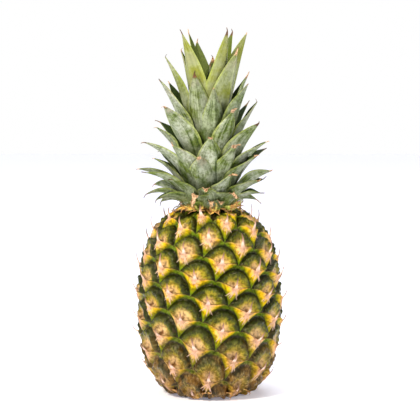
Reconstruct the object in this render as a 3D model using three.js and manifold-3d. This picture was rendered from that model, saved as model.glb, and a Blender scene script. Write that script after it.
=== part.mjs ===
// A whole pineapple that stands on its base: fruit with its eyes, dry bracts at its neck, and crown.
// Millimetres, +Z up, origin in the middle of the base; the side towards -Y is the front.
import * as THREE from "three";
import { mergeVertices } from "three/addons/utils/BufferGeometryUtils.js";
import Module from "manifold-3d";

const wasm = await Module();
wasm.setup();

const DEGREE = Math.PI / 180;

// Outline of the fruit between groove and rim of its eyes, as radius and height, from the foot to the neck.
const FRUIT_OUTLINE = [
  [29, 0], [38, 3.5], [45.5, 11], [52.2, 22], [57.6, 38], [60.6, 58], [61.2, 80],
  [60.4, 100], [57.6, 118], [53, 132], [46, 144], [37.5, 153], [28, 159], [18, 162.5],
];
const OUTLINE_STEPS = 12;

// The eyes stand on a spiral: each is turned from the one before by nearly the golden angle.
const TURN = 137.65 * DEGREE;
const FIRST_AZIMUTH = -0.5 * DEGREE;
const LOWEST_EYE = -56;
const HIGHEST_EYE = 50;
// The steep rows of eyes: every 8th eye lies up to the right, every 13th up to the left.
const RIGHT_ROW = 8;
const LEFT_ROW = 13;
const RIGHT_TURN = RIGHT_ROW * TURN - 3 * 2 * Math.PI;
const LEFT_TURN = LEFT_ROW * TURN - 5 * 2 * Math.PI;

// Way along the outline at eye 0, and how it grows with the number of the eye over 40.
const EYE_WAY = [101, 66.2, -8, 8.67];
const FOOT_WAY = 4;
const FOOT_SQUEEZE = 16;
const NECK_WAY = 170;
const NECK_SQUEEZE = 26;
// The relief fades out over this way from the foot, and over this way towards the neck.
const FLAT_FOOT = 9;
const FLAT_NECK_WAY = 172;
const FLAT_NECK = 20;

// Form of one eye, in its own square of two coordinates from 0 to 1.
const EYE_GRID = [0, 0.1, 0.3, 0.5, 0.7, 0.9, 1];
const EDGE_BULGE = 0.12;
const BRACT_DIP = 0.155;
const GROOVE = 2.1;
const DOME_RISE = 3.4;
const DOME_DISH = 0.9;
const HOLLOW = 0.7;
const BRACT_RISE = 4.2;
const UNEVEN = 0.35;

// Dry spine on each bract.
const SPINE_LENGTH = 13.5;
const SPINE_LEAN = [48, 14];
const SPINE_HALF_WIDTH = 1.15;
const LOWEST_SPINE = -46;
const HIGHEST_SPINE = 48;
const LAST_LONG_SPINE = 36;

const CAP_SIDES = 21;
const FOOT_RING_RADIUS = 15;
const STALK_RADIUS = 12;
const STALK_GROOVE = [13.6, 1.4];
const STALK_SIDES = 24;

// Neck: a thin disc of dry tissue that carries the small bracts.
const GAP = 0.3;
const NECK_BOTTOM = FRUIT_OUTLINE.at(-1)[1] + GAP;
const NECK_TOP = NECK_BOTTOM + 1.5;
const NECK_RADIUS = 20;
const NECK_BRACTS = 17;
const NECK_BEND = 0.04;

// Stem inside the crown, as radius and height.
const STEM = [[20, NECK_TOP + GAP], [23, 169], [21, 192], [17.5, 215], [13, 240], [5, 266]];
const STEM_SIDES = 12;

// Leaves of the front half as the photo shows them: azimuth in degrees, positive to the right,
// then reach of the tip from the axis and height of the tip.
const FRONT_LEAVES = [
  [-19, 44, 175], [-4, 42, 184], [29, 44, 177], [-62, 53, 171], [-81, 58, 174], [-44, 50, 191],
  [-75, 61, 195], [-86, 64, 197], [-72, 62, 222], [-42, 50, 221], [-49, 52, 254], [-14, 41, 214],
  [0, 39, 230], [34, 45, 223], [27, 46, 198], [54, 54, 189], [72, 50, 176], [88, 44, 168],
  [79, 56, 196], [56, 52, 212], [66, 56, 223], [58, 51, 239], [75, 44, 257], [56, 41, 273],
  [33, 38, 254], [8, 30, 270], [-27, 28, 283], [41, 36, 302], [30, 32, 319], [70, 35, 316],
  [-43, 37, 318], [-75, 46, 276], [-84, 44, 167],
];
// Leaves behind those, seen between or past them.
const REAR_LEAVES = [
  [-105, 53, 206], [-110, 52, 234], [105, 52, 187], [108, 54, 214], [115, 39, 281],
  [140, 35, 300], [170, 19, 296], [-160, 31, 309], [-95, 40, 296], [-102, 52, 182],
];
// Small leaves set by rule: a low whorl that hides the stem, and the young leaves in the heart of the crown.
const WHORL = { count: 9, reach: [26, 30], height: [175, 181], rootR: 20.5, rootZ: 165, width: 17 };
const HEART = { count: 3, reach: [8, 15], height: [284, 298], rootR: 1, rootZ: 255, width: 12 };
// The unseen back repeats the leaves of the front that face the viewer, turned by this much.
const BACK_TURN = 187;
const BACK_FACING = 61;

// Sections of a leaf along and across it, and its width at the root as a share of its widest.
const LONG_LEAF = { stations: [0, 0.3, 0.55, 0.78, 0.91], across: [-1, -0.35, 0.35, 1], root: 0.45 };
const SHORT_LEAF = { stations: [0, 0.35, 0.65, 0.88], across: [-1, 0, 1], root: 0.45 };
const SMALL_LEAF = { stations: [0, 0.45, 0.8], across: [-1, 0, 1], root: 0.9 };
const SHORT_LEAF_TOP = 222;
const LEAF_BEND = 0.5;
// Leaves with tips below this height spring from the foot of the stem; higher ones start higher up.
const LOW_TIP = 180;
const LOWEST_ROOT = 166.5;
const ROOT_RISE = 0.52;
const ROOT_DEPTH = 3;
const LEAF_WIDTH = [20.5, 27];
const WIDE_TIP = 225;
const LEAF_THICKNESS = 1.2;
const WIDEST = 0.35;
const NECK_BRACT = { stations: [0, 0.55], across: [-1, 0, 1], root: 0.45 };
const BRACT_THICKNESS = 0.9;
const SLIVER = 0.2;

// The same number for the same whole number and purpose, from 0 to 1.
function chance(number, purpose) {
  const wave = Math.sin(number * 12.9898 + purpose * 78.233) * 43758.5453;
  return wave - Math.floor(wave);
}

function smooth(x) {
  const t = Math.min(Math.max(x, 0), 1);
  return t * t * (3 - 2 * t);
}

function between(a, b, share) {
  return a + (b - a) * share;
}

// Fine points along the outline, each with its way from the foot.
function outlineTrack() {
  const curve = new THREE.SplineCurve(FRUIT_OUTLINE.map(([r, z]) => new THREE.Vector2(r, z)));
  const points = curve.getPoints((FRUIT_OUTLINE.length - 1) * OUTLINE_STEPS);
  let way = 0;
  return points.map((point, i) => {
    way += i ? point.distanceTo(points[i - 1]) : 0;
    return { way, r: point.x, z: point.y };
  });
}
const TRACK = outlineTrack();

// Radius, height and slope of the fruit at a way along its outline; below the foot it runs flat to the axis.
function outlineAt(way) {
  if (way <= 0) return { r: TRACK[0].r + way, z: 0, outR: 0, outZ: -1 };
  const next = TRACK.findIndex((point) => point.way > way);
  const upper = next < 0 ? TRACK.length - 1 : next;
  const a = TRACK[upper - 1];
  const b = TRACK[upper];
  const share = (way - a.way) / (b.way - a.way);
  const length = b.way - a.way;
  return {
    r: between(a.r, b.r, share),
    z: between(a.z, b.z, share),
    outR: (b.z - a.z) / length,
    outZ: (a.r - b.r) / length,
  };
}

// Way along the outline of eye n, which may be a fraction; it slows down at the foot and the neck.
function wayOfEye(n) {
  const t = n / 40;
  const way = EYE_WAY[0] + t * (EYE_WAY[1] + t * (EYE_WAY[2] + t * EYE_WAY[3]));
  if (way < FOOT_WAY) return FOOT_WAY - FOOT_SQUEEZE * (1 - Math.exp((way - FOOT_WAY) / FOOT_SQUEEZE));
  if (way > NECK_WAY) return NECK_WAY + NECK_SQUEEZE * (1 - Math.exp((NECK_WAY - way) / NECK_SQUEEZE));
  return way;
}

// Place on the fruit of the point (right, left) in the square of eye n, raised by height.
function onFruit(n, right, left, height) {
  const way = wayOfEye(n + RIGHT_ROW * right + LEFT_ROW * left);
  const azimuth = FIRST_AZIMUTH + n * TURN + right * RIGHT_TURN + left * LEFT_TURN;
  const p = outlineAt(way);
  const flat = smooth(way / FLAT_FOOT);
  const relief = height * flat * (1 - smooth((way - FLAT_NECK_WAY) / FLAT_NECK));
  const wave = UNEVEN * Math.sin(3 * azimuth + way / FLAT_FOOT) * flat;
  const r = p.r + p.outR * (relief + wave);
  const z = Math.max(0, p.z + p.outZ * (relief + wave));
  return new THREE.Vector3(r * Math.sin(azimuth), -r * Math.cos(azimuth), z);
}

// Shift from the even square to the arched eye: upper edges bulge, and the middle dips to the spine.
function arched(u, v) {
  const dip = BRACT_DIP * 16 * u * (1 - u) * v * (1 - v);
  return [
    u - 0.5 + EDGE_BULGE * 4 * v * (1 - v) - dip,
    v - 0.5 + EDGE_BULGE * 4 * u * (1 - u) - dip,
  ];
}

function domeHeight(u, v) {
  const fromRim = Math.min(1 - u, 1 - v);
  const fromBract = Math.min(u, v);
  const inside = smooth(fromRim / 0.14);
  const rise = DOME_RISE * inside * smooth(fromBract / 0.2);
  const dish = DOME_DISH * smooth((fromRim - 0.14) / 0.25);
  const middle = Math.exp(-((u - 0.56) ** 2 + (v - 0.56) ** 2) / 0.02);
  return rise - GROOVE - dish - HOLLOW * inside * middle;
}

function bractHeight(u, v) {
  return BRACT_RISE * smooth(Math.min(u, v) / 0.36) - GROOVE;
}

// The triangles of one eye. The bract is the lower half of the square; its upper edge overhangs the dome.
function addEye(n, corners) {
  const last = EYE_GRID.length - 1;
  const middle = last / 2;
  const spined = n >= LOWEST_SPINE && n <= HIGHEST_SPINE;
  const add = (...points) => corners.push(...points);
  const place = (u, v, height) => onFruit(n, ...arched(u, v), height(u, v));
  const dome = (i, j) => place(EYE_GRID[i], EYE_GRID[j], domeHeight);
  const bract = (i, j) => place(EYE_GRID[i], EYE_GRID[j], bractHeight);
  const corner = (i, j) => i === 0 || j === 0;
  for (let i = 0; i < last; i++) {
    for (let j = 0; j < last; j++) {
      const level = i + j + 1;
      const lower = level <= last ? bract : dome;
      const upper = level >= last ? dome : bract;
      const touchesSpine = spined && upper === bract && i + 1 === middle && j + 1 === middle;
      const besideSpine = spined && level === last && (i === middle || j === middle);
      if (!besideSpine) add(lower(i, j), lower(i + 1, j), lower(i, j + 1));
      if (!touchesSpine) add(upper(i + 1, j), upper(i + 1, j + 1), upper(i, j + 1));
    }
  }
  for (let i = 0; i < last; i++) {
    const j = last - 1 - i;
    if (spined && (i === middle || j === middle)) continue;
    if (!corner(i + 1, j)) add(bract(i, j + 1), bract(i + 1, j), dome(i + 1, j));
    if (!corner(i, j + 1)) add(bract(i, j + 1), dome(i + 1, j), dome(i, j + 1));
  }
  if (spined) addSpine(n, middle, dome, bract, add);
}

// The spine grows out of the middle of the bract's upper edge, leans out and then turns up along the eye.
function addSpine(n, middle, dome, bract, add) {
  const [right, left] = arched(0.5, 0.5);
  const height = bractHeight(0.5, 0.5);
  const root = [
    onFruit(n, right - 0.077, left + 0.047, height),
    onFruit(n, right - 0.046, left - 0.093, height + 0.2),
    onFruit(n, right + 0.077, left - 0.047, height),
  ];
  const outward = onFruit(n, right, left, height + 1).sub(onFruit(n, right, left, height)).normalize();
  outward.setZ(Math.max(outward.z, -0.1)).normalize();
  const east = new THREE.Vector3(-outward.y, outward.x, 0).normalize();
  const up = new THREE.Vector3().crossVectors(outward, east);
  const sway = (chance(n, 1) - 0.5) * 0.7;
  const ending = between(1, 0.3, smooth((n - LAST_LONG_SPINE) / 16));
  const size = SPINE_LENGTH * between(0.8, 1.15, chance(n, 2)) * ending;
  const stretch = (from, lean, side) =>
    from
      .clone()
      .addScaledVector(up, (size / 2) * Math.cos(lean))
      .addScaledVector(outward, (size / 2) * Math.sin(lean))
      .addScaledVector(east, (size / 2) * side);
  const base = onFruit(n, right - 0.015, left - 0.03, height - 0.3);
  const bend = (chance(n, 3) - 0.5) * 16;
  const half = stretch(base, (SPINE_LEAN[0] + bend) * DEGREE, sway * 0.4);
  const tip = stretch(half, (SPINE_LEAN[1] + bend) * DEGREE, sway);
  const ring = [
    half.clone().addScaledVector(east, -SPINE_HALF_WIDTH),
    half.clone().addScaledVector(outward, 1).addScaledVector(up, -0.6),
    half.clone().addScaledVector(east, SPINE_HALF_WIDTH),
  ];
  for (let side = 0; side < 3; side++) {
    const next = (side + 1) % 3;
    add(root[side], root[next], ring[next]);
    add(root[side], ring[next], ring[side]);
    add(ring[side], ring[next], tip);
  }
  joinSpineRoot(root, middle, dome, bract, add);
}

// The triangles between the root of the spine and the points of the eye round it.
function joinSpineRoot([toLeft, below, toRight], middle, dome, bract, add) {
  const [low, high] = [middle - 1, middle + 1];
  add(bract(low, middle), toLeft, bract(low, high));
  add(bract(low, middle), below, toLeft);
  add(bract(low, middle), bract(middle, low), below);
  add(bract(middle, low), toRight, below);
  add(bract(middle, low), bract(high, low), toRight);
  add(bract(low, high), toLeft, dome(middle, middle));
  add(bract(low, high), dome(middle, middle), dome(low, high));
  add(toLeft, toRight, dome(middle, middle));
  add(toRight, bract(high, low), dome(high, low));
  add(toRight, dome(high, low), dome(middle, middle));
}

// A flat end: each edge of the jagged border runs to a ring of few sides, and the ring to its middle.
function addEnd(border, radius, z, corners) {
  const sector = (point) => Math.round((Math.atan2(point.y, point.x) / (2 * Math.PI)) * CAP_SIDES);
  const onRing = (step) => {
    const angle = ((((step % CAP_SIDES) + CAP_SIDES) % CAP_SIDES) / CAP_SIDES) * 2 * Math.PI;
    return new THREE.Vector3(radius * Math.cos(angle), radius * Math.sin(angle), z);
  };
  const middle = new THREE.Vector3(0, 0, z);
  for (const [from, to] of border) {
    const a = sector(from);
    const b = sector(to);
    corners.push(to, from, onRing(a));
    if ((a - b) % CAP_SIDES === 0) continue;
    corners.push(to, onRing(a), onRing(b));
    corners.push(onRing(b), onRing(a), middle);
  }
}

// The border edges of the eyes at one end, in the direction in which the eyes use them.
function jaggedBorder(top) {
  const edges = [];
  const last = EYE_GRID.length - 1;
  const at = (n, i, j) => onFruit(n, ...arched(EYE_GRID[i], EYE_GRID[j]), -GROOVE);
  for (let n = LOWEST_EYE; n <= HIGHEST_EYE; n++) {
    for (let k = 0; k < last; k++) {
      if (top && n + RIGHT_ROW > HIGHEST_EYE) edges.push([at(n, last, k), at(n, last, k + 1)]);
      if (top && n + LEFT_ROW > HIGHEST_EYE) edges.push([at(n, k + 1, last), at(n, k, last)]);
      if (!top && n - RIGHT_ROW < LOWEST_EYE) edges.push([at(n, 0, k + 1), at(n, 0, k)]);
      if (!top && n - LEFT_ROW < LOWEST_EYE) edges.push([at(n, k, 0), at(n, k + 1, 0)]);
    }
  }
  return edges;
}

// A geometry from loose corner points, three to a triangle.
function geometryOf(corners) {
  const loose = new THREE.BufferGeometry().setFromPoints(corners);
  return mergeVertices(loose, 1e-4);
}

function solidOf(geometry) {
  const bare = geometry.index ? geometry.toNonIndexed() : geometry.clone();
  bare.deleteAttribute("normal");
  bare.deleteAttribute("uv");
  const merged = mergeVertices(bare, 1e-4);
  return new wasm.Manifold(
    new wasm.Mesh({
      numProp: 3,
      vertProperties: merged.attributes.position.array,
      triVerts: new Uint32Array(merged.index.array),
    }),
  );
}

// The geometry of the largest body of a solid, which fills hollows sealed by joining and drops loose scraps.
function geometryOfSolid(solid) {
  const bodies = solid.simplify(SLIVER).decompose();
  const body = bodies.reduce((best, one) => (one.volume() > best.volume() ? one : best));
  const { vertProperties, triVerts } = body.getMesh();
  const geometry = new THREE.BufferGeometry();
  geometry.setAttribute("position", new THREE.BufferAttribute(vertProperties, 3));
  geometry.setIndex(new THREE.BufferAttribute(triVerts, 1));
  return geometry;
}

// A solid turned from an outline of radius and height.
function turned(outline, sides) {
  const points = outline.map(([r, z]) => new THREE.Vector2(r, z));
  const closed = [new THREE.Vector2(0, points[0].y), ...points, new THREE.Vector2(0, points.at(-1).y)];
  const lathe = new THREE.LatheGeometry(closed, sides);
  lathe.rotateX(Math.PI / 2);
  return solidOf(lathe);
}

function fruitGeometry() {
  const corners = [];
  for (let n = LOWEST_EYE; n <= HIGHEST_EYE; n++) addEye(n, corners);
  addEnd(jaggedBorder(false), FOOT_RING_RADIUS, 0, corners);
  addEnd(jaggedBorder(true), FRUIT_OUTLINE.at(-1)[0] - 2, FRUIT_OUTLINE.at(-1)[1], corners);
  const whole = solidOf(geometryOf(corners));
  const [outer, depth] = STALK_GROOVE;
  const disc = turned([[outer, -depth], [outer, depth]], STALK_SIDES);
  const stalk = turned([[STALK_RADIUS, -2 * depth], [STALK_RADIUS, 2 * depth]], STALK_SIDES);
  return geometryOfSolid(whole.subtract(disc.subtract(stalk)));
}

// Middle line of a leaf in its own plane, from its root to its tip, as a curve that leaves the stem steeply.
function leafLine(rootR, rootZ, reach, height, bend) {
  const chord = Math.atan2(reach - rootR, height - rootZ);
  const length = Math.hypot(reach - rootR, height - rootZ);
  const curl = bend * chord;
  const start = chord - curl;
  const end = chord + curl;
  const pull = 0.37 * length;
  return new THREE.CubicBezierCurve(
    new THREE.Vector2(rootR, rootZ),
    new THREE.Vector2(rootR + pull * Math.sin(start), rootZ + pull * Math.cos(start)),
    new THREE.Vector2(reach - pull * Math.sin(end), height - pull * Math.cos(end)),
    new THREE.Vector2(reach, height),
  );
}

// Width of a leaf along its length as a share of its widest: full low down, then an arched point.
function widthShare(t, root) {
  return t < WIDEST ? between(root, 1, smooth(t / WIDEST)) : 1 - ((t - WIDEST) / (1 - WIDEST)) ** 1.7;
}

// One channelled blade, closed all round; its rounded side faces away from the axis.
function leafSolid(azimuth, line, width, thickness, { stations, across, root }) {
  const outwards = new THREE.Vector3(Math.sin(azimuth), -Math.cos(azimuth), 0);
  const sideways = new THREE.Vector3(Math.cos(azimuth), Math.sin(azimuth), 0);
  const at = (r, z, side) => outwards.clone().multiplyScalar(r).addScaledVector(sideways, side).setZ(z);
  const ringAt = (t) => {
    const p = line.getPoint(t);
    const along = line.getTangent(t);
    const wrap = between(62, 34, t) * DEGREE;
    const bend = (width * widthShare(t, root)) / (2 * wrap);
    const half = (thickness / 2) * between(1, 0.75, t);
    const face = (q, offset) => {
      const depth = (bend + offset) * Math.cos(q * wrap) - bend;
      return at(p.x + along.y * depth, p.y - along.x * depth, (bend + offset) * Math.sin(q * wrap));
    };
    return [...across.map((q) => face(q, half)), ...across.toReversed().map((q) => face(q, -half))];
  };
  const rings = stations.map(ringAt);
  const end = line.getPoint(1);
  const tip = at(end.x, end.y, 0);
  const corners = [];
  const count = across.length;
  const quad = (a, b, c, d) => corners.push(a, b, c, a, c, d);
  for (let k = 0; k < 2 * count; k++) {
    const next = (k + 1) % (2 * count);
    for (let s = 0; s + 1 < rings.length; s++) {
      if (k < count) quad(rings[s][k], rings[s][next], rings[s + 1][next], rings[s + 1][k]);
      else quad(rings[s][next], rings[s + 1][next], rings[s + 1][k], rings[s][k]);
    }
    corners.push(rings.at(-1)[k], rings.at(-1)[next], tip);
  }
  for (let k = 0; k + 1 < count; k++) {
    const facing = 2 * count - 1 - k;
    quad(rings[0][k + 1], rings[0][k], rings[0][facing], rings[0][facing - 1]);
  }
  return solidOf(geometryOf(corners));
}

// Radius of the stem at a height.
function stemRadius(z) {
  const upper = Math.max(1, STEM.findIndex(([, height]) => height > z));
  const [r0, z0] = STEM[upper - 1];
  const [r1, z1] = STEM[upper];
  return between(r0, r1, (z - z0) / (z1 - z0));
}

function crownLeaf([azimuth, reach, height], form) {
  const rootZ = Math.max(LOWEST_ROOT, LOWEST_ROOT + (height - LOW_TIP) * ROOT_RISE);
  const rootR = stemRadius(rootZ) - ROOT_DEPTH;
  const line = leafLine(rootR, rootZ, reach, height, LEAF_BEND);
  const width = between(...LEAF_WIDTH, smooth((height - LOW_TIP) / (WIDE_TIP - LOW_TIP)));
  return leafSolid(azimuth * DEGREE, line, width, LEAF_THICKNESS, form);
}

// A set of small leaves, each turned from the one before like the eyes.
function leafSet({ count, reach, height, rootR, rootZ, width }, seed) {
  return Array.from({ length: count }, (_, k) => {
    const tipR = between(...reach, chance(k, seed));
    const tipZ = between(...height, chance(k, seed + 1));
    const line = leafLine(rootR, rootZ, tipR, tipZ, LEAF_BEND);
    return leafSolid(k * TURN, line, width, LEAF_THICKNESS, SMALL_LEAF);
  });
}

function crownGeometry() {
  const back = FRONT_LEAVES.filter(([azimuth]) => Math.abs(azimuth) < BACK_FACING).map(
    ([azimuth, reach, height]) => [azimuth + BACK_TURN, reach, height],
  );
  const leaves = [
    ...FRONT_LEAVES.map((leaf) => crownLeaf(leaf, leaf[2] < SHORT_LEAF_TOP ? SHORT_LEAF : LONG_LEAF)),
    ...[...REAR_LEAVES, ...back].map((leaf) => crownLeaf(leaf, SHORT_LEAF)),
    ...leafSet(WHORL, 11),
    ...leafSet(HEART, 13),
  ];
  return geometryOfSolid(wasm.Manifold.union([turned(STEM, STEM_SIDES), ...leaves]));
}

function neckGeometry() {
  const disc = turned([[NECK_RADIUS, NECK_BOTTOM], [NECK_RADIUS, NECK_TOP]], NECK_BRACTS);
  const scales = [];
  for (let k = 0; k < NECK_BRACTS; k++) {
    const reach = between(27, 35, chance(k, 5));
    const height = NECK_BOTTOM + between(-1.7, 0.2, chance(k, 6)) - (reach - 27) * 0.35;
    const line = leafLine(NECK_RADIUS - 2, (NECK_BOTTOM + NECK_TOP) / 2, reach, height, NECK_BEND);
    const azimuth = ((k + 0.4 * chance(k, 8)) / NECK_BRACTS) * 2 * Math.PI;
    scales.push(leafSolid(azimuth, line, between(6, 8, chance(k, 7)), BRACT_THICKNESS, NECK_BRACT));
  }
  return geometryOfSolid(wasm.Manifold.union([disc, ...scales]));
}

function named(name, geometry, color, roughness) {
  const material = new THREE.MeshStandardMaterial({ color, roughness, metalness: 0 });
  const mesh = new THREE.Mesh(geometry, material);
  mesh.name = name;
  return mesh;
}

const pineapple = new THREE.Group();
pineapple.add(named("fruit", fruitGeometry(), "#9c8a22", 0.55));
pineapple.add(named("neck_bracts", neckGeometry(), "#b97a2e", 0.8));
pineapple.add(named("crown", crownGeometry(), "#8ea27a", 0.6));

export default pineapple;
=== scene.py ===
"""Looks of a whole pineapple: rind with its eyes and dry spines, dry neck bracts and a crown of leaves."""

import math
from types import SimpleNamespace

import bpy
import numpy as np
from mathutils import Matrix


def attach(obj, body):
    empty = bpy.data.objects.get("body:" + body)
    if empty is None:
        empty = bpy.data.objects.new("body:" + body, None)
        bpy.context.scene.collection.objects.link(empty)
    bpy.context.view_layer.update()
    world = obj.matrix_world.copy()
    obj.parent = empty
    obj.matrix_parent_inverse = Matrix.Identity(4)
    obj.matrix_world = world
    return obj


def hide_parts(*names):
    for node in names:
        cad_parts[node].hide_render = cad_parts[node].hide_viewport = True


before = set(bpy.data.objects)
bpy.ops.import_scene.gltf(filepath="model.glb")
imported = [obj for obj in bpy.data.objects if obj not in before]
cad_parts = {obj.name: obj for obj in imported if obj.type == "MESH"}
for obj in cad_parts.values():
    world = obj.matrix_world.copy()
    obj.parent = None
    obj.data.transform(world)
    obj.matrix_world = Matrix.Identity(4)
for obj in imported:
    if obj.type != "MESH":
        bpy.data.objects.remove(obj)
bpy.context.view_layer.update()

MM = 0.001
DEGREE = math.pi / 180

# Outline of the fruit, as radius and height in millimetres, from the foot to the neck.
FRUIT_OUTLINE = [
    (29, 0), (38, 3.5), (45.5, 11), (52.2, 22), (57.6, 38), (60.6, 58), (61.2, 80),
    (60.4, 100), (57.6, 118), (53, 132), (46, 144), (37.5, 153), (28, 159), (18, 162.5),
]

# The eyes stand on a spiral: each is turned from the one before by nearly the golden angle.
TURN = 137.65 * DEGREE
FIRST_AZIMUTH = -0.5 * DEGREE
LOWEST_EYE = -56
HIGHEST_EYE = 50
LOWEST_SPINE = -46
HIGHEST_SPINE = 48
# Every 8th eye lies up to the right, every 13th up to the left.
RIGHT_ROW = 8
LEFT_ROW = 13
RIGHT_TURN = RIGHT_ROW * TURN - 3 * 2 * math.pi
LEFT_TURN = LEFT_ROW * TURN - 5 * 2 * math.pi

# Way in millimetres across and up the fruit to the next eye of each row, at its middle.
RIGHT_STEP = (22.6, 13.2)
LEFT_STEP = (-11.3, 21.5)
# Size in millimetres of an eye's square, and of half its diagonal.
EYE_SIDE = 25
EYE_HALF_DIAGONAL = 17.7

EDGE_BULGE = 0.12
BRACT_DIP = 0.155
GROOVE = 2.1
# How square the arch of an eye is: a high power leaves its top corner sharp.
ARCH = 6
EYE_FACES = 28

STALK_RADIUS = 12
STALK_GROOVE_RADIUS = 13.6
STALK_GROOVE_DEPTH = 1.4
NECK_RADIUS = 16

SPINE_LENGTH = 13.5
SPINE_ROOT_HEIGHT = 1.9
# Degrees that a spine leans out from upright, at its root and its point.
SPINE_LEAN = (48, 14)
FINGERS = 6
FOOT_SCRAPS = 26
# Thin pieces stay this far above the ground.
LEAST_CLEARANCE = 0.15

NECK_BOTTOM = 162.8
NECK_SCALES = 84
STEM = [(20, 164.6), (23, 169), (21, 192), (17.5, 215), (13, 240), (5, 266)]

# Leaves of the front half as the photo shows them: azimuth in degrees, positive to the right,
# then reach of the tip from the axis and height of the tip.
FRONT_LEAVES = [
    (-19, 44, 175), (-4, 42, 184), (29, 44, 177), (-62, 53, 171), (-81, 58, 174), (-44, 50, 191),
    (-75, 61, 195), (-86, 64, 197), (-72, 62, 222), (-42, 50, 221), (-49, 52, 254), (-14, 41, 214),
    (0, 39, 230), (34, 45, 223), (27, 46, 198), (54, 54, 189), (72, 50, 176), (88, 44, 168),
    (79, 56, 196), (56, 52, 212), (66, 56, 223), (58, 51, 239), (75, 44, 257), (56, 41, 273),
    (33, 38, 254), (8, 30, 270), (-27, 28, 283), (41, 36, 302), (30, 32, 319), (70, 35, 316),
    (-43, 37, 318), (-75, 46, 276), (-84, 44, 167),
]
# Leaves behind those, seen between or past them.
REAR_LEAVES = [
    (-105, 53, 206), (-110, 52, 234), (105, 52, 187), (108, 54, 214), (115, 39, 281),
    (140, 35, 300), (170, 19, 296), (-160, 31, 309), (-95, 40, 296), (-102, 52, 182),
]
WHORL = {"count": 11, "reach": (25, 30), "height": (169, 176), "root": (22, 164.5), "width": 14}
HEART = {"count": 3, "reach": (8, 15), "height": (284, 298), "root": (1, 255), "width": 12}
BACK_TURN = 187
BACK_FACING = 61
LEAF_BEND = 0.5
LEAF_THICKNESS = 1.2
WIDEST = 0.35
LOW_TIP = 180
LOWEST_ROOT = 166.5


def chance(number, purpose):
    """The same number for the same whole number and purpose, from 0 to 1."""
    wave = np.sin(number * 12.9898 + purpose * 78.233) * 43758.5453
    return wave - np.floor(wave)


def smooth(x):
    t = np.clip(x, 0, 1)
    return t * t * (3 - 2 * t)


def between(a, b, share):
    return a + (b - a) * share


def outline_track():
    """Fine points along the outline, on the same curve as the solids, with the way from the foot."""
    knots = np.array(FRUIT_OUTLINE, float)
    last = len(knots) - 1
    t = np.linspace(0, last, last * 40 + 1)
    k = np.minimum(t.astype(int), last - 1)
    s = (t - k)[:, None]
    before, a = knots[np.maximum(k - 1, 0)], knots[k]
    b, after = knots[k + 1], knots[np.minimum(k + 2, last)]
    lean_a, lean_b = (b - before) / 2, (after - a) / 2
    third = 2 * a - 2 * b + lean_a + lean_b
    second = 3 * b - 3 * a - 2 * lean_a - lean_b
    points = third * s**3 + second * s**2 + lean_a * s + a
    way = np.concatenate([[0], np.cumsum(np.linalg.norm(np.diff(points, axis=0), axis=1))])
    return way, points[:, 0], points[:, 1]


TRACK = outline_track()


def outline_at(way):
    """Radius, height and outward slope at a way along the outline."""
    ways, radii, heights = TRACK
    step = 0.5
    r = np.where(way <= 0, radii[0] + way, np.interp(way, ways, radii))
    z = np.where(way <= 0, 0, np.interp(way, ways, heights))
    dr = np.interp(way + step, ways, radii) - np.interp(way - step, ways, radii)
    dz = np.interp(way + step, ways, heights) - np.interp(way - step, ways, heights)
    dr = np.where(way <= 0, 1, dr)
    dz = np.where(way <= 0, 0, dz)
    length = np.hypot(dr, dz)
    return r, z, dz / length, -dr / length


def way_of_eye(n):
    t = n / 40
    way = 101 + t * (66.2 + t * (-8 + t * 8.67))
    foot = 4 - 16 * (1 - np.exp(np.minimum(way - 4, 0) / 16))
    neck = 170 + 26 * (1 - np.exp(np.minimum(170 - way, 0) / 26))
    return np.where(way < 4, foot, np.where(way > 170, neck, way))


def on_fruit(n, right, left, height):
    """Places on the fruit, in millimetres, of points in the square of eye n, raised by height."""
    way = way_of_eye(n + RIGHT_ROW * right + LEFT_ROW * left)
    azimuth = FIRST_AZIMUTH + n * TURN + right * RIGHT_TURN + left * LEFT_TURN
    r, z, out_r, out_z = outline_at(way)
    relief = height * smooth(way / 9) * (1 - smooth((way - 172) / 20))
    wave = 0.35 * np.sin(3 * azimuth + way / 9) * smooth(way / 9)
    r = r + out_r * (relief + wave)
    z = np.maximum(0, z + out_z * (relief + wave))
    return np.stack([r * np.sin(azimuth), -r * np.cos(azimuth), z], axis=-1)


def arched(u, v):
    """Shift from the even square to the arched eye: upper edges bulge, and the middle dips to the spine."""
    dip = BRACT_DIP * 16 * u * (1 - u) * v * (1 - v)
    bulge_u = EDGE_BULGE * np.maximum(4 * u * (1 - u), 0) ** 0.8
    bulge_v = EDGE_BULGE * np.maximum(4 * v * (1 - v), 0) ** 0.8
    return u - 0.5 + bulge_v - dip, v - 0.5 + bulge_u - dip


def hump(x, middle, width):
    """A smooth hump of height 1."""
    return np.exp(-(((x - middle) / width) ** 2))


def ripple(x, y, seed):
    """Smooth unevenness from a few crossed waves, about -1 to 1."""
    a = np.sin(1.7 * x + 0.9 * y + seed) + np.sin(-1.1 * x + 2.3 * y + 2.1 * seed)
    b = np.sin(3.1 * x - 1.9 * y + 3.3 * seed) + np.sin(2.2 * x + 3.7 * y + 0.7 * seed)
    return (a + 0.6 * b) / 3.2


def deselect():
    if bpy.context.object and bpy.context.object.mode != "OBJECT":
        bpy.ops.object.mode_set(mode="OBJECT")
    bpy.ops.object.select_all(action="DESELECT")


def only(obj):
    deselect()
    obj.select_set(True)
    bpy.context.view_layer.objects.active = obj


def coordinates(mesh):
    xyz = np.empty(len(mesh.vertices) * 3)
    mesh.vertices.foreach_get("co", xyz)
    return xyz.reshape(-1, 3)


def copy_of(pattern, name, points_mm):
    """A copy of a pattern mesh with its own vertices set to places in millimetres."""
    piece = pattern.copy()
    piece.data = pattern.data.copy()
    piece.name = name
    piece.data.vertices.foreach_set("co", (points_mm * MM).ravel())
    bpy.context.collection.objects.link(piece)
    return piece


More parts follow.
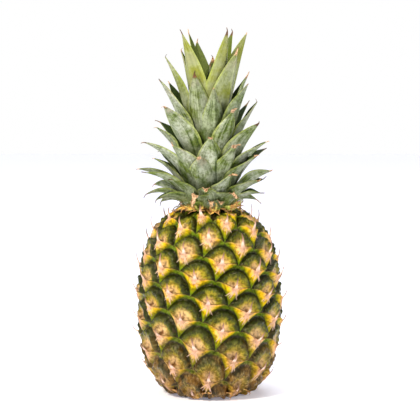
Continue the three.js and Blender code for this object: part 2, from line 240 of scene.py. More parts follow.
def put_facts(mesh, name, *values):
    """Three numbers for each face corner, which the material reads; each is given by vertex, or for all."""
    corner = np.empty(len(mesh.loops), int)
    mesh.loops.foreach_get("vertex_index", corner)
    by_vertex = np.stack([np.broadcast_to(value, len(mesh.vertices)) for value in values], axis=-1)
    layer = mesh.attributes.new(name, "FLOAT_VECTOR", "CORNER")
    layer.data.foreach_set("vector", by_vertex[corner].ravel())


def joined(pieces, name):
    deselect()
    for piece in pieces:
        piece.select_set(True)
    bpy.context.view_layer.objects.active = pieces[0]
    bpy.ops.object.join()
    whole = bpy.context.object
    whole.name = name
    whole.data.name = name
    return whole


# Fruit


def eye_pattern():
    """A flat square of fine faces, cut along the line where the bract's upper edge lies."""
    deselect()
    bpy.ops.mesh.primitive_grid_add(x_subdivisions=EYE_FACES, y_subdivisions=EYE_FACES, size=2)
    bpy.ops.object.mode_set(mode="EDIT")
    bpy.ops.mesh.select_all(action="SELECT")
    bpy.ops.mesh.bisect(plane_co=(0, 0, 0), plane_no=(1, 1, 0), threshold=1e-5)
    bpy.ops.object.mode_set(mode="OBJECT")
    return bpy.context.object


def eye_ground(u, v):
    """Where points of the square lie in their eye, in millimetres right of and above the spine's root."""
    right, left = arched(u, v)
    centre_right, centre_left = arched(0.5, 0.5)
    east = RIGHT_STEP[0] * (right - centre_right) + LEFT_STEP[0] * (left - centre_left)
    up = RIGHT_STEP[1] * (right - centre_right) + LEFT_STEP[1] * (left - centre_left)
    return east, up


def dome_height(n, u, v, around, from_rim, from_foot, grain):
    """Height of the dome: a rolled rim with creases across it, rings inside it, a dish and a small pocket."""
    puff = between(0.75, 1.3, chance(n, 12))
    inside = smooth(from_rim / 0.09)
    creases = np.abs(np.sin(5.5 * around + 2.5 * ripple(around, 4 * from_rim, n))) ** 3
    folds = 0.4 * ripple(2.4 * around + n, 9 * from_rim, n) - 1.2 * creases * hump(from_rim, 0.12, 0.09)
    rim = 1.7 * hump(from_rim, 0.11, 0.055)
    rings = 0.5 * np.sin(46 * from_rim + 2 * ripple(2 * around, 0, n)) * hump(from_rim, 0.26, 0.1)
    dish = 1.7 * puff * smooth((from_rim - 0.13) / 0.2)
    pocket = np.exp(-((u - 0.53) ** 2 + (v - 0.58) ** 2) / 0.006) * between(0.4, 1.6, chance(n, 13))
    height = (3.2 * smooth(from_foot / 0.14) + rim * smooth(from_foot / 0.25)) * inside - GROOVE
    height = height - (dish + 1.3 * pocket) * inside
    height = height + (folds + grain + rings) * inside * smooth(from_foot / 0.2)
    corner_pad = 2.4 * smooth(-from_rim / 0.05) * smooth(np.minimum(1 - u, 1 - v) / 0.08)
    return height + corner_pad


def bract_height(n, u, v, east, away, around, from_foot, grain):
    """Height of the bract: raised, with fibres that run out from the spine and a torn, lifted lip."""
    fibres = 0.3 * ripple(9 * around, 0.25 * away, n + 5) + 0.12 * ripple(23 * around, 0.2 * away, n)
    texture = (fibres * smooth(away / 3) + grain) * smooth(from_foot / 0.15)
    torn = between(0.5, 1.4, chance(n, 14)) * smooth((u + v - 0.84) / 0.16) * smooth(from_foot / 0.1)
    return 3.9 * smooth(from_foot / 0.3) - GROOVE + texture + torn * (1 + 0.5 * ripple(1.3 * east, 0, n))


def shaped_eye(pattern, u, v, n):
    """The rind of eye n on the fruit, with what its material needs to know about each place."""
    east, up = eye_ground(u, v)
    away = np.hypot(east, up)
    around = np.arctan2(up, east)
    from_rim = 1 - (np.maximum(u, 0) ** ARCH + np.maximum(v, 0) ** ARCH) ** (1 / ARCH)
    from_foot = np.minimum(u, v)
    grain = 0.1 * ripple(2.6 * east, 2.6 * up, n)
    dome = dome_height(n, u, v, around, from_rim, from_foot, grain)
    bract = bract_height(n, u, v, east, away, around, from_foot, grain)
    is_dome = u + v > 1 + 1e-6
    height = np.where(is_dome, dome, bract)
    eye = copy_of(pattern, f"eye_{n}", on_fruit(n, *arched(u, v), height))
    edge = EYE_SIDE * np.where(is_dome, from_rim, from_foot)
    put_facts(eye.data, "eye_place", east, up, chance(n, 4))
    put_facts(eye.data, "eye_form", edge, EYE_HALF_DIAGONAL * (u + v - 1), n)
    return eye


def fruit_rind():
    pattern = eye_pattern()
    flat = coordinates(pattern.data)
    # Faces lie closer together near the borders of the square, where the rim and the creases are.
    u, v = [(c + 1) / 2 - 0.05 * np.sin(math.pi * (c + 1)) for c in (flat[:, 0], flat[:, 1])]
    eyes = [shaped_eye(pattern, u, v, n) for n in range(LOWEST_EYE, HIGHEST_EYE + 1)]
    bpy.data.objects.remove(pattern)
    rind = joined(eyes, "fruit_rind")
    bpy.ops.object.mode_set(mode="EDIT")
    bpy.ops.mesh.select_all(action="SELECT")
    bpy.ops.mesh.remove_doubles(threshold=1e-6)
    bpy.ops.object.mode_set(mode="OBJECT")
    foot_rings = [
        (STALK_GROOVE_RADIUS, 0),
        (STALK_GROOVE_RADIUS, STALK_GROOVE_DEPTH),
        (STALK_RADIUS, STALK_GROOVE_DEPTH),
        (STALK_RADIUS, 0),
    ]
    close_end(rind, foot_rings, lambda z: z < 10 * MM)
    close_end(rind, [(NECK_RADIUS, 162.5)], lambda z: z > 140 * MM)
    return rind


def close_end(rind, rings, here):
    """Draws the open border in to a ring of each radius and height in turn, then closes the last ring."""
    only(rind)
    bpy.ops.object.mode_set(mode="EDIT")
    bpy.ops.mesh.select_mode(type="EDGE")
    bpy.ops.mesh.select_all(action="DESELECT")
    bpy.ops.mesh.select_non_manifold(
        extend=False, use_wire=False, use_multi_face=False, use_non_contiguous=False, use_verts=False
    )
    bpy.ops.object.mode_set(mode="OBJECT")
    mesh = rind.data
    for edge in mesh.edges:
        if edge.select and not all(here(mesh.vertices[i].co.z) for i in edge.vertices):
            edge.select = False
    for vertex in mesh.vertices:
        vertex.select = vertex.select and here(vertex.co.z)
    for radius, height in rings:
        bpy.ops.object.mode_set(mode="EDIT")
        bpy.ops.mesh.extrude_edges_move()
        bpy.ops.object.mode_set(mode="OBJECT")
        set_ring(mesh, radius, height)
    bpy.ops.object.mode_set(mode="EDIT")
    bpy.ops.mesh.edge_face_add()
    bpy.ops.object.mode_set(mode="OBJECT")


def set_ring(mesh, radius, height):
    """Moves the selected points to a radius and a height in millimetres."""
    for vertex in mesh.vertices:
        if vertex.select:
            reach = math.hypot(vertex.co.x, vertex.co.y)
            vertex.co.x *= radius * MM / reach
            vertex.co.y *= radius * MM / reach
            vertex.co.z = height * MM


def spine_pattern():
    """A six-sided peg from -1 to 1, with closer rings towards its root."""
    deselect()
    bpy.ops.mesh.primitive_cylinder_add(vertices=6, radius=1, depth=2, end_fill_type="TRIFAN")
    bpy.ops.object.mode_set(mode="EDIT")
    for height in (-0.9, -0.7, -0.4, 0, 0.4, 0.75):
        bpy.ops.mesh.select_all(action="SELECT")
        bpy.ops.mesh.bisect(plane_co=(0, 0, height), plane_no=(0, 0, 1))
    bpy.ops.object.mode_set(mode="OBJECT")
    return bpy.context.object


def unit(vector):
    return vector / np.linalg.norm(vector)


def spine_points(flat, t, middle, wide, thick, across, depth, twist):
    """The pattern's rings set round a middle line, with half-widths across and in depth, and fibres."""
    x, y = flat[:, 0], flat[:, 1]
    fibre = 1 + 0.2 * np.sin(5 * np.arctan2(y, x) + 9 * t + twist)
    places = middle + (x * wide * fibre)[:, None] * across - (y * thick * fibre)[:, None] * depth
    places[:, 2] = np.maximum(places[:, 2], LEAST_CLEARANCE)
    return places


def spine_frame(n):
    """The spine's root and its outward, right-hand and upward directions."""
    right, left = arched(0.5, 0.5)
    root = on_fruit(n, right - 0.03, left - 0.06, SPINE_ROOT_HEIGHT - 0.7)
    here = on_fruit(n, right, left, SPINE_ROOT_HEIGHT)
    outward = on_fruit(n, right, left, SPINE_ROOT_HEIGHT + 1) - here
    outward = unit(outward + 0.1 * unit(here * (1, 1, 0)))
    outward[2] = max(outward[2], -0.1)
    outward = unit(outward)
    east = unit(np.array([-outward[1], outward[0], 0]))
    return root, outward, east, np.cross(outward, east)


def spine(pattern, flat, t, n):
    """A dry spine on the middle of its bract: a wide root, then a thin point that leans out and turns up."""
    root, outward, east, up = spine_frame(n)
    near_neck = smooth((n - 36) / 12)
    size = SPINE_LENGTH * between(0.85, 1.2, chance(n, 2)) * between(1, 0.85, near_neck)
    steps = np.linspace(0, 1, 40)
    bend = (chance(n, 3) - 0.5) * 16
    lean = between(*SPINE_LEAN, smooth((steps - 0.2) / 0.7)) + bend + 26 * smooth((n - 32) / 12)
    high = np.interp(t, steps, np.cumsum(np.cos(lean * DEGREE)) / 40) * size
    out = np.interp(t, steps, np.cumsum(np.sin(lean * DEGREE)) / 40) * size * 0.9
    sway = (chance(n, 1) - 0.5) * 0.7
    side = sway * size * 0.5 * t**1.6 + 0.9 * np.sin(5 * t + n) * t * (1 - t)
    middle = root + np.outer(high, up) + np.outer(out, outward) + np.outer(side, east)
    wide = np.interp(t, [0, 0.08, 0.2, 0.4, 0.7, 0.9, 1], [3.6, 2.7, 1.8, 1.2, 0.8, 0.5, 0.1])
    wide = wide * between(0.8, 1.2, chance(n, 15))
    thick = np.interp(t, [0, 0.2, 0.5, 1], [1.0, 0.75, 0.45, 0.08])
    places = spine_points(flat, t, middle, wide, thick, east, unit(outward - 0.4 * up), n)
    piece = copy_of(pattern, f"spine_{n}", places)
    put_facts(piece.data, "spine_place", t, flat[:, 0], chance(n, 9))
    return piece


def finger(pattern, flat, t, n, k):
    """A fibre of the spine's root that runs out over the bract, as dry wood does."""
    right, left = arched(0.5, 0.5)
    way = between(-1.25, 1.25, (k + 0.7 * chance(n, 40 + k)) / FINGERS)
    reach = between(0.13, 0.27, chance(n, 50 + k)) * (1 - 0.25 * abs(way))
    lift = between(-0.35, 0.25, chance(n, 60 + k))
    tip_right = right - 0.03 - reach * t * (1 - 0.95 * way)
    tip_left = left - 0.05 - reach * t * (1 + 0.95 * way)
    middle = on_fruit(n, tip_right, tip_left, SPINE_ROOT_HEIGHT + 0.05 + lift - 1.1 * t**2)
    outward = unit(middle[0] * (1, 1, 0))
    across = unit(np.cross(middle[-1] - middle[0], outward))
    wide = np.interp(t, [0, 0.3, 1], [0.95, 0.6, 0.1])
    places = spine_points(flat, t, middle, wide, wide * 0.7, across, outward, k)
    piece = copy_of(pattern, f"finger_{n}_{k}", places)
    put_facts(piece.data, "spine_place", 0.05 + 0.25 * t, flat[:, 0], chance(n, 70 + k))
    return piece


def fruit_spines():
    pattern = spine_pattern()
    flat = coordinates(pattern.data)
    t = np.clip((flat[:, 2] + 1) / 2, 0, 1)
    pieces = []
    for n in range(LOWEST_SPINE, HIGHEST_SPINE + 1):
        pieces.append(spine(pattern, flat, t, n))
        pieces += [finger(pattern, flat, t, n, k) for k in range(FINGERS)]
    bpy.data.objects.remove(pattern)
    return joined(pieces, "fruit_spines")


# Leaves, which the crown, the neck and the foot share


def leaf_line(root, reach, height, bend):
    """Control points of a leaf's middle line in its own plane; it leaves the stem steeply and arches out."""
    chord = math.atan2(reach - root[0], height - root[1])
    length = math.hypot(reach - root[0], height - root[1])
    start, end = chord * (1 - bend), chord * (1 + bend)
    pull = 0.37 * length
    return np.array([
        root,
        (root[0] + pull * math.sin(start), root[1] + pull * math.cos(start)),
        (reach - pull * math.sin(end), height - pull * math.cos(end)),
        (reach, height),
    ])


def along_line(line, t):
    """Points and unit directions of a cubic curve."""
    t = t[:, None]
    s = 1 - t
    point = s**3 * line[0] + 3 * s * s * t * line[1] + 3 * s * t * t * line[2] + t**3 * line[3]
    way = s * s * (line[1] - line[0]) + 2 * s * t * (line[2] - line[1]) + t * t * (line[3] - line[2])
    return point, way / np.linalg.norm(way, axis=1)[:, None]


def blade_pattern(across, along):
    """A thin flat slab, closed all round, from -1 to 1 both ways."""
    deselect()
    bpy.ops.mesh.primitive_grid_add(x_subdivisions=across, y_subdivisions=along, size=2)
    slab = bpy.context.object
    wall = slab.modifiers.new("wall", "SOLIDIFY")
    wall.thickness = 0.2
    wall.offset = 0
    bpy.ops.object.modifier_apply(modifier=wall.name)
    return slab


def blade_widths(t, green_end, width, seed, papery):
    """Share of the full width: widest low down, then tapering to a dry thread or a papery scrap."""
    body = np.clip(t / green_end, 0, 1)
    past = np.clip((t - green_end) / (1 - green_end), 0, 1)
    taper = np.clip((body - WIDEST) / (1 - WIDEST), 0, 1)
    share = 1 - taper ** between(1.35, 2.1, chance(seed, 22))
    stub = between(4, 6.5, chance(seed, 32)) * (1 + 0.25 * np.sin(9 * past + seed)) if papery else 1.1
    return np.maximum(share, stub / width * (1 - 0.6 * past))


def blade_section(q, t, face, full_width, thickness, share, seed):
    """Way to the side and outwards of points across the channelled blade, with its frills, fold and ribs."""
    wrap = between(62, 34, t) * between(0.8, 1.25, chance(seed, 23)) * DEGREE
    bend = full_width * share / (2 * wrap)
    wall = face * thickness / 2 * between(1, 0.6, t) * between(1, 0.45, q * q)
    waves = between(7, 15, chance(seed, 25))
    frill = between(0.3, 1.2, chance(seed, 24)) * np.sin(waves * t + seed + q) * q**2 * share * smooth(t * 4)
    crease = np.exp(-np.abs(q - 0.8 * (chance(seed, 26) - 0.5)) / 0.22)
    fold = between(0.02, 0.11, chance(seed, 31)) * full_width * share * crease
    ribs = 0.09 * np.sin(38 * q + 3 * np.sin(4 * t + seed)) * share
    side = (bend + wall) * np.sin(q * wrap)
    depth = (bend + wall) * np.cos(q * wrap) - bend + frill + fold + ribs
    return side, depth


def blade_twist(t, azimuth, seed):
    """Turn of the blade about its middle line; those at the left in front show more of their outer face."""
    facing = -0.5 * smooth((-azimuth - 30) / 40) * smooth((azimuth + 130) / 30)
    return ((chance(seed, 27) - 0.5) * 1.1 + facing) * smooth(t)


def leaf(pattern, name, azimuth, line, width, thickness, seed, age, papery=False):
    """One channelled blade on the slab's copy; its rounded side faces away from the axis."""
    flat = coordinates(pattern.data)
    q = flat[:, 0]
    t = np.clip((flat[:, 1] + 1) / 2, 0, 1)
    face = np.sign(flat[:, 2])
    dry_end = between(3.5, 7, chance(seed, 21)) if papery else between(1, 4, chance(seed, 21) ** 2)
    green_end = 1 - min(dry_end / np.linalg.norm(line[3] - line[0]), 0.2)
    share = blade_widths(t, green_end, width, seed, papery)
    side, depth = blade_section(q, t, face, width, thickness, share, seed)
    twist = blade_twist(t, azimuth, seed)
    depth, side = depth * np.cos(twist) + side * np.sin(twist), side * np.cos(twist) - depth * np.sin(twist)
    # The dry end hooks over to one side, outwards and down.
    hook = np.clip((t - green_end + 0.02) / (1.02 - green_end), 0, 1) ** 1.5
    side = side + 1.1 * np.sin(4 * t + 2 * seed) * t + between(-1, 1, chance(seed, 28)) * hook * 2
    depth = depth + hook * between(*((1, 4) if papery else (-3.5, 1.5)), chance(seed, 29))
    point, way = along_line(line, t)
    r = point[:, 0] + way[:, 1] * depth
    z = point[:, 1] - way[:, 0] * depth - hook * between(0, 3.5, chance(seed, 30))
    z = np.maximum(z, LEAST_CLEARANCE + 0.1 - 0.15 * face)
    a = azimuth * DEGREE
    outwards = np.array([math.sin(a), -math.cos(a), 0])
    sideways = np.array([math.cos(a), math.sin(a), 0])
    piece = copy_of(pattern, name, np.outer(r, outwards) + np.outer(side, sideways) + np.outer(z, [0, 0, 1]))
    luck = chance(seed, 3) * (0.45 if papery else 1)
    put_facts(piece.data, "leaf_place", np.clip(t / green_end, 0, 1) + hook * 0.2, q, luck)
    put_facts(piece.data, "leaf_form", face, age, chance(seed, 6))
    return piece


def age_at(height):
    """0 for the lowest leaves of the crown, and 1 for the highest."""
    return (height - 165) / 155


# Crown


def placed_leaf(pattern, k, azimuth, reach, height):
    """A leaf of the crown by the place of its tip; its root lies lower on the stem."""
    root_z = LOWEST_ROOT + max(0, height - LOW_TIP) * 0.52
    root_r = np.interp(root_z, [z for _, z in STEM], [r for r, _ in STEM]) - 3
    bend = LEAF_BEND
    if abs(azimuth) < 40:
        bend = 0.75 if height < 190 else 0.36
    root = (root_r + 1.5, root_z - min(6, root_z - LOWEST_ROOT + 1))
    width = between(20.5, 27, smooth((height - LOW_TIP) / 45))
    papery = abs(math.remainder(azimuth, 180)) < 36 and height < 260
    line = leaf_line(root, reach, height, bend)
    return leaf(pattern, f"leaf_{k}", azimuth, line, width, LEAF_THICKNESS, k, age_at(height), papery)


def small_leaves(pattern, ring, number, bend, papery):
    """A ring of small leaves, each turned from the one before as the eyes are."""
    leaves = []
    for k in range(ring["count"]):
        reach = between(*ring["reach"], chance(k, number))
        height = between(*ring["height"], chance(k, number + 1))
        line = leaf_line(ring["root"], reach, height, bend)
        name = f"small_{number}_{k}"
        azimuth = k * TURN / DEGREE
        leaves.append(
            leaf(pattern, name, azimuth, line, ring["width"], LEAF_THICKNESS, 100 + k, age_at(height), papery)
        )
    return leaves


def crown_leaves():
    pattern = blade_pattern(16, 34)
    back = [(a + BACK_TURN, reach, height) for a, reach, height in FRONT_LEAVES if abs(a) < BACK_FACING]
    placed = FRONT_LEAVES + REAR_LEAVES + back
    leaves = [placed_leaf(pattern, k, *place) for k, place in enumerate(placed)]
    leaves += small_leaves(pattern, WHORL, 11, 0.15, True)
    leaves += small_leaves(pattern, HEART, 13, LEAF_BEND, False)
    bpy.data.objects.remove(pattern)
    return joined(leaves, "crown_leaves")


def crown_stem():
    """The stem between the leaves, raised ring by ring from its outline."""
    deselect()
    bpy.ops.mesh.primitive_circle_add(vertices=32, radius=STEM[0][0] * MM, fill_type="NGON")
    stem = bpy.context.object
    stem.name = "crown_stem"
    for vertex in stem.data.vertices:
        vertex.co.z = STEM[0][1] * MM
    bpy.ops.object.mode_set(mode="EDIT")
    bpy.ops.mesh.select_all(action="SELECT")
    for radius, height in STEM[1:]:
        bpy.ops.mesh.extrude_region_move()
        bpy.ops.object.mode_set(mode="OBJECT")
        set_ring(stem.data, radius - 1.5, height)
        bpy.ops.object.mode_set(mode="EDIT")
    bpy.ops.mesh.select_all(action="SELECT")
    bpy.ops.mesh.normals_make_consistent(inside=False)
    bpy.ops.object.mode_set(mode="OBJECT")
    return stem


# Dry bracts of the foot and the neck


def foot_radius(height):
    """Radius of the fruit's outline near the ground, where it still widens upwards."""
    _, radii, heights = TRACK
    return float(np.interp(height, heights[:200], radii[:200]))


def foot_scraps():
    """Dry shreds of bract that curl round the foot."""
    pattern = blade_pattern(4, 12)
    scraps = []
    for k in range(FOOT_SCRAPS):
        azimuth = (k + 0.8 * chance(k, 81)) / FOOT_SCRAPS * 360
        low = between(1.5, 7, chance(k, 82))
        start = foot_radius(low)
        reach = start + between(3, 9, chance(k, 83))
        tip = max(1.2, low + between(-3, 8, chance(k, 84)))
        line = leaf_line((start - 1.5, low), reach, tip, between(-0.3, 0.5, chance(k, 85)))
        width = between(3, 9, chance(k, 86))
        scraps.append(leaf(pattern, f"scrap_{k}", azimuth, line, width, 0.6, 300 + k, 0.5))
    bpy.data.objects.remove(pattern)
    return joined(scraps, "foot_scraps")


def neck_scale(pattern, k):
    """One dry bract of the neck: it lies flat, or stands up against the crown."""
    upright = chance(k, 3) < 0.42
    reach = between(26, 31, chance(k, 5)) if upright else between(24, 35, chance(k, 5))
    tip = NECK_BOTTOM + between(-1.7, 3.5, chance(k, 6)) - (reach - 27) * 0.45
    if upright:
        tip = between(164, 172, chance(k, 6))
    root = (NECK_RADIUS + 6.5, 161.5) if upright else (NECK_RADIUS + 1, 163.6)
    line = leaf_line(root, reach, tip, between(-0.2, 0.4, chance(k, 2)))
    azimuth = (k + 2 * chance(k, 8)) / NECK_SCALES * 360
    width = between(2.5, 6.5 if upright else 9, chance(k, 7) ** 1.5)
    return leaf(pattern, f"scale_{k}", azimuth, line, width, 0.7, 200 + k, chance(k, 4))


def neck_scales():
    """Dry bracts round the neck: a flat ring under torn ones that stand up."""
    pattern = blade_pattern(6, 12)
    scales = [neck_scale(pattern, k) for k in range(NECK_SCALES)]
    bpy.data.objects.remove(pattern)
    return joined(scales, "neck_scales")


# Materials


def linear(hex_colour):
    """An sRGB hex colour as linear RGBA."""
    parts = [int(hex_colour[i : i + 2], 16) / 255 for i in (1, 3, 5)]
    return [c / 12.92 if c <= 0.04045 else ((c + 0.055) / 1.055) ** 2.4 for c in parts] + [1]


def cells(size):
    """The scale of a noise whose blots are of a size in millimetres, in whole cells to the metre."""
    return round(1 / (size * MM))


def feed(tree, socket, value):
    """Sets a socket to a number, a vector or a hex colour, or links it to an output or a node's first one."""
    if isinstance(value, str):
        socket.default_value = linear(value)
    elif isinstance(value, (int, float, tuple)):
        socket.default_value = value
    elif isinstance(value, bpy.types.Node):
        tree.links.new(next(output for output in value.outputs if output.enabled), socket)
    else:
        tree.links.new(value, socket)


def node(tree, kind, *inputs, **settings):
    """Adds a node. Settings in small letters are its properties, and capitalised ones are inputs by name.

    The inputs without a name feed its sockets in turn.
    """
    added = tree.nodes.new("ShaderNode" + kind)
    for name, value in settings.items():
        if name.islower():
            setattr(added, name, value)
        else:
            feed(tree, added.inputs[name], value)
    in_use = [socket for socket in added.inputs if socket.enabled]
    for socket, value in zip(in_use, inputs):
        feed(tree, socket, value)
    return added


def graded(ramp, stops):
    """Gives a colour ramp its stops, as positions and hex colours in rising order."""
    elements = ramp.color_ramp.elements
    while len(elements) < len(stops):
        elements.new(1)
    for element, (position, colour) in zip(elements, stops):
        element.position = position
        element.color = linear(colour)
    return ramp


def material(name):
    made = bpy.data.materials.new(name)
    made.use_nodes = True
    return made, made.node_tree, made.node_tree.nodes["Principled BSDF"]


def surface(tree, shader, colour, relief, strength, depth):
    """Feeds the colour, and the relief as a bump of a depth in millimetres."""
    feed(tree, shader.inputs["Base Color"], colour)
    bump = node(tree, "Bump", Strength=strength, Distance=depth * MM, Height=relief)
    feed(tree, shader.inputs["Normal"], bump)


def eye_facts(tree):
    """What the rind's patterns are made of: places in millimetres in each eye, and noise on them."""
    place = node(tree, "TexCoord").outputs["Object"]
    in_eye = node(tree, "Attribute", attribute_name="eye_place").outputs["Vector"]
    form = node(tree, "Attribute", attribute_name="eye_form").outputs["Vector"]
    east, up, luck = node(tree, "SeparateXYZ", in_eye).outputs
    edge, over_lip, number = node(tree, "SeparateXYZ", form).outputs
    away = node(tree, "VectorMath", node(tree, "CombineXYZ", east, up), operation="LENGTH")
    # Fibres run out from the spine: the noise is stretched along the way from it.
    around = node(tree, "Math", node(tree, "Math", up, east, operation="ARCTAN2"), 4, operation="MULTIPLY")
    run = node(tree, "Math", away, 0.16, operation="MULTIPLY")
    fibre = node(tree, "TexNoise", node(tree, "CombineXYZ", around, run, number), 2.2, 5, 0.65)
    lumps = node(tree, "TexNoise", place, cells(9.1), 4, 0.55)
    # The way from the rim, made uneven by up to a few millimetres further in.
    fibre_part = node(tree, "Math", fibre, 9, -4.5, operation="MULTIPLY_ADD")
    uneven = node(tree, "Math", node(tree, "Math", lumps, 13, -6.5, operation="MULTIPLY_ADD"), fibre_part)
    inside = node(tree, "MapRange", edge, 0, 6, 0, 1)
    return SimpleNamespace(
        place=place, east=east, up=up, luck=luck, edge=edge, over_lip=over_lip, away=away, fibre=fibre,
        lumps=lumps,
        spots=node(tree, "TexNoise", place, cells(2.63), 4, 0.55),
        ragged=node(tree, "Math", uneven, inside, edge, operation="MULTIPLY_ADD"),
        pale_reach=node(tree, "Math", luck, 4.5, 9.6, operation="MULTIPLY_ADD"),
        lip_width=node(tree, "Math", fibre, 1.4, 0.5, operation="MULTIPLY_ADD"),
    )


def dome_colour(tree, eye):
    """Waxy dome: near-black at the rim, its own dark green with painted groove shade, then green, olive and
    cream at the spine, a brown pocket by the spine darkened by painted shade, and a painted shadow under the
    bract's lip.
    """
    # The first stops, near-black within about a millimetre of the rim, are painted groove shade over the
    # rim's own dark green.
    colour = graded(node(tree, "ValToRGB", node(tree, "MapRange", eye.ragged, 0, 13, 0, 1)), [
        (0.0, "#0c1102"), (0.08, "#1a2203"), (0.19, "#2e3806"), (0.3, "#5f620c"),
        (0.43, "#a2941e"), (0.58, "#dcb24a"), (0.78, "#f0ca8e"),
    ])
    ragged_away = node(tree, "Math", eye.fibre, 7, eye.away, operation="MULTIPLY_ADD")
    near = node(tree, "MapRange", ragged_away, 0, eye.pale_reach, 1, 0)
    near = node(tree, "Math", near, 2.2, operation="MULTIPLY", use_clamp=True)
    colour = node(tree, "Mix", near, colour, "#ecc690", data_type="RGBA")
    pad = node(tree, "MapRange", eye.edge, -1.3, 0, 1, 0)
    colour = node(tree, "Mix", pad, colour, "#5d720c", data_type="RGBA")
    # The pocket by the spine: brown dry tissue, darkened further by painted shade in the pocket.
    lumpy_away = node(tree, "Math", eye.lumps, 5, eye.away, operation="MULTIPLY_ADD")
    spine_pocket_brown_and_shade = node(tree, "MapRange", lumpy_away, 3.12, 5.2, 1, 0)
    colour = node(tree, "Mix", spine_pocket_brown_and_shade, colour, "#94603f", data_type="RGBA")
    rays = node(tree, "MapRange", eye.fibre, 0.56, 0.893, 0, 1)
    colour = node(tree, "Mix", rays, colour, "#5a6a1c", data_type="RGBA")
    # Painted shadow: dark brown on the dome just under the bract's lip.
    painted_lip_shadow = node(tree, "MapRange", eye.over_lip, 0, eye.lip_width, 0.7, 0)
    return node(tree, "Mix", painted_lip_shadow, colour, "#4a3518", data_type="RGBA")


def bract_colour(tree, eye):
    """Fibrous bract: near-black at its very edges as painted groove shade, then green at its edges and far
    ends, yellow within, cream at the spine, with a dry lip.
    """
    # The first stop, near-black at the bract's edge, is painted groove shade.
    colour = graded(node(tree, "ValToRGB", node(tree, "MapRange", eye.ragged, 0, 11, 0, 1)), [
        (0.0, "#141a03"), (0.06, "#454e06"), (0.16, "#8c8c0a"), (0.3, "#c4ac0c"),
        (0.5, "#f0c60c"), (0.75, "#f6ba16"), (1.0, "#eca82c"),
    ])
    lower_end = node(tree, "Math", eye.fibre, 8, operation="MULTIPLY")
    lower_end = node(tree, "Math", lower_end, eye.up, operation="SUBTRACT")
    lower_end = node(tree, "MapRange", lower_end, 9.5, 16.64, 0, 1)
    colour = node(tree, "Mix", lower_end, colour, "#8e960e", data_type="RGBA")
    outer_end = node(tree, "Math", eye.fibre, 5, eye.away, operation="MULTIPLY_ADD")
    outer_end = node(tree, "MapRange", outer_end, 13.4, 16.525, 0, 1)
    colour = node(tree, "Mix", outer_end, colour, "#66800c", data_type="RGBA")
    cream = node(tree, "Math", eye.fibre, 7.5, eye.away, operation="MULTIPLY_ADD")
    cream = node(tree, "MapRange", cream, 0, eye.pale_reach, 1, 0)
    cream = node(tree, "Math", cream, 2, operation="MULTIPLY", use_clamp=True)
    colour = node(tree, "Mix", cream, colour, "#efc09c", data_type="RGBA")
    below_lip = node(tree, "Math", eye.over_lip, -1, operation="MULTIPLY")
    lip = node(tree, "MapRange", below_lip, 0, eye.lip_width, 0.75, 0)
    inner_part = node(tree, "MapRange", eye.away, 8.1, 17.1, 1, 0)
    lip = node(tree, "Math", lip, inner_part, operation="MULTIPLY")
    return node(tree, "Mix", lip, colour, "#d39a6c", data_type="RGBA")


def worn(tree, eye, colour):
    """Adds dry streaks at the spine that are darkest at its root, partly painted shade there, stains on about
    half of the eyes, bruises low down, and flecks.
    """
    # Dark brown streaks that fade away from the spine: partly the rind's own dry marks, partly painted shade
    # at the spine's root.
    root_streak_and_shade = node(tree, "MapRange", eye.fibre, 0.56, 0.685, 0, 1)
    root_streak_and_shade = node(tree, "Math", root_streak_and_shade, node(tree, "MapRange", eye.away, 0, 11, 1, 0), operation="MULTIPLY")
    colour = node(tree, "Mix", root_streak_and_shade, colour, "#63423c", data_type="RGBA")
    stained_eye = node(tree, "Math", eye.luck, 0.45, operation="GREATER_THAN")
    stain = node(tree, "MapRange", eye.lumps, 0.58, 0.723, 0, 0.7)
    stain = node(tree, "Math", stain, stained_eye, operation="MULTIPLY")
    colour = node(tree, "Mix", stain, colour, "#5b463e", data_type="RGBA")
    height = node(tree, "SeparateXYZ", eye.place).outputs["Z"]
    low = node(tree, "Math", eye.lumps, 0.03, height, operation="MULTIPLY_ADD")
    low = node(tree, "MapRange", low, 0, 0.075, 0.9, 0)
    dark = node(tree, "MapRange", eye.lumps, 0.42, 0.587, 0, 1)
    bruise = node(tree, "Mix", dark, "#9a6a28", "#3d2d28", data_type="RGBA")
    dry = node(tree, "MapRange", eye.fibre, 0.5, 0.7, 0, 1)
    bruise = node(tree, "Mix", dry, bruise, "#dcb27a", data_type="RGBA")
    colour = node(tree, "Mix", low, colour, bruise, data_type="RGBA")
    fleck = graded(node(tree, "ValToRGB", eye.spots), [(0.38, "#6e5a36"), (0.56, "#ffffff")])
    return node(tree, "Mix", 0.65, colour, fleck, data_type="RGBA", blend_type="MULTIPLY")


def rind_material():
    """Pineapple rind: domes with a thin natural wax that glints at the rim, on duller fibrous bracts."""
    made, tree, shader = material("pineapple_rind")
    eye = eye_facts(tree)
    dome = node(tree, "Math", eye.over_lip, 0, operation="GREATER_THAN")
    colour = node(tree, "Mix", dome, bract_colour(tree, eye), dome_colour(tree, eye), data_type="RGBA")
    relief = node(tree, "Math", eye.fibre, 0.8, eye.spots, operation="MULTIPLY_ADD")
    surface(tree, shader, worn(tree, eye, colour), relief, 0.8, 1.3)
    dull = node(tree, "MapRange", dome, 0, 1, 0.35, 0.05)
    roughness = node(tree, "Math", eye.spots, 0.16, dull, operation="MULTIPLY_ADD")
    feed(tree, shader.inputs["Roughness"], roughness)
    feed(tree, shader.inputs["Specular IOR Level"], node(tree, "MapRange", dome, 0, 1, 0.1, 0.3))
    feed(tree, shader.inputs["Specular Tint"], "#fff2c8")
    return made


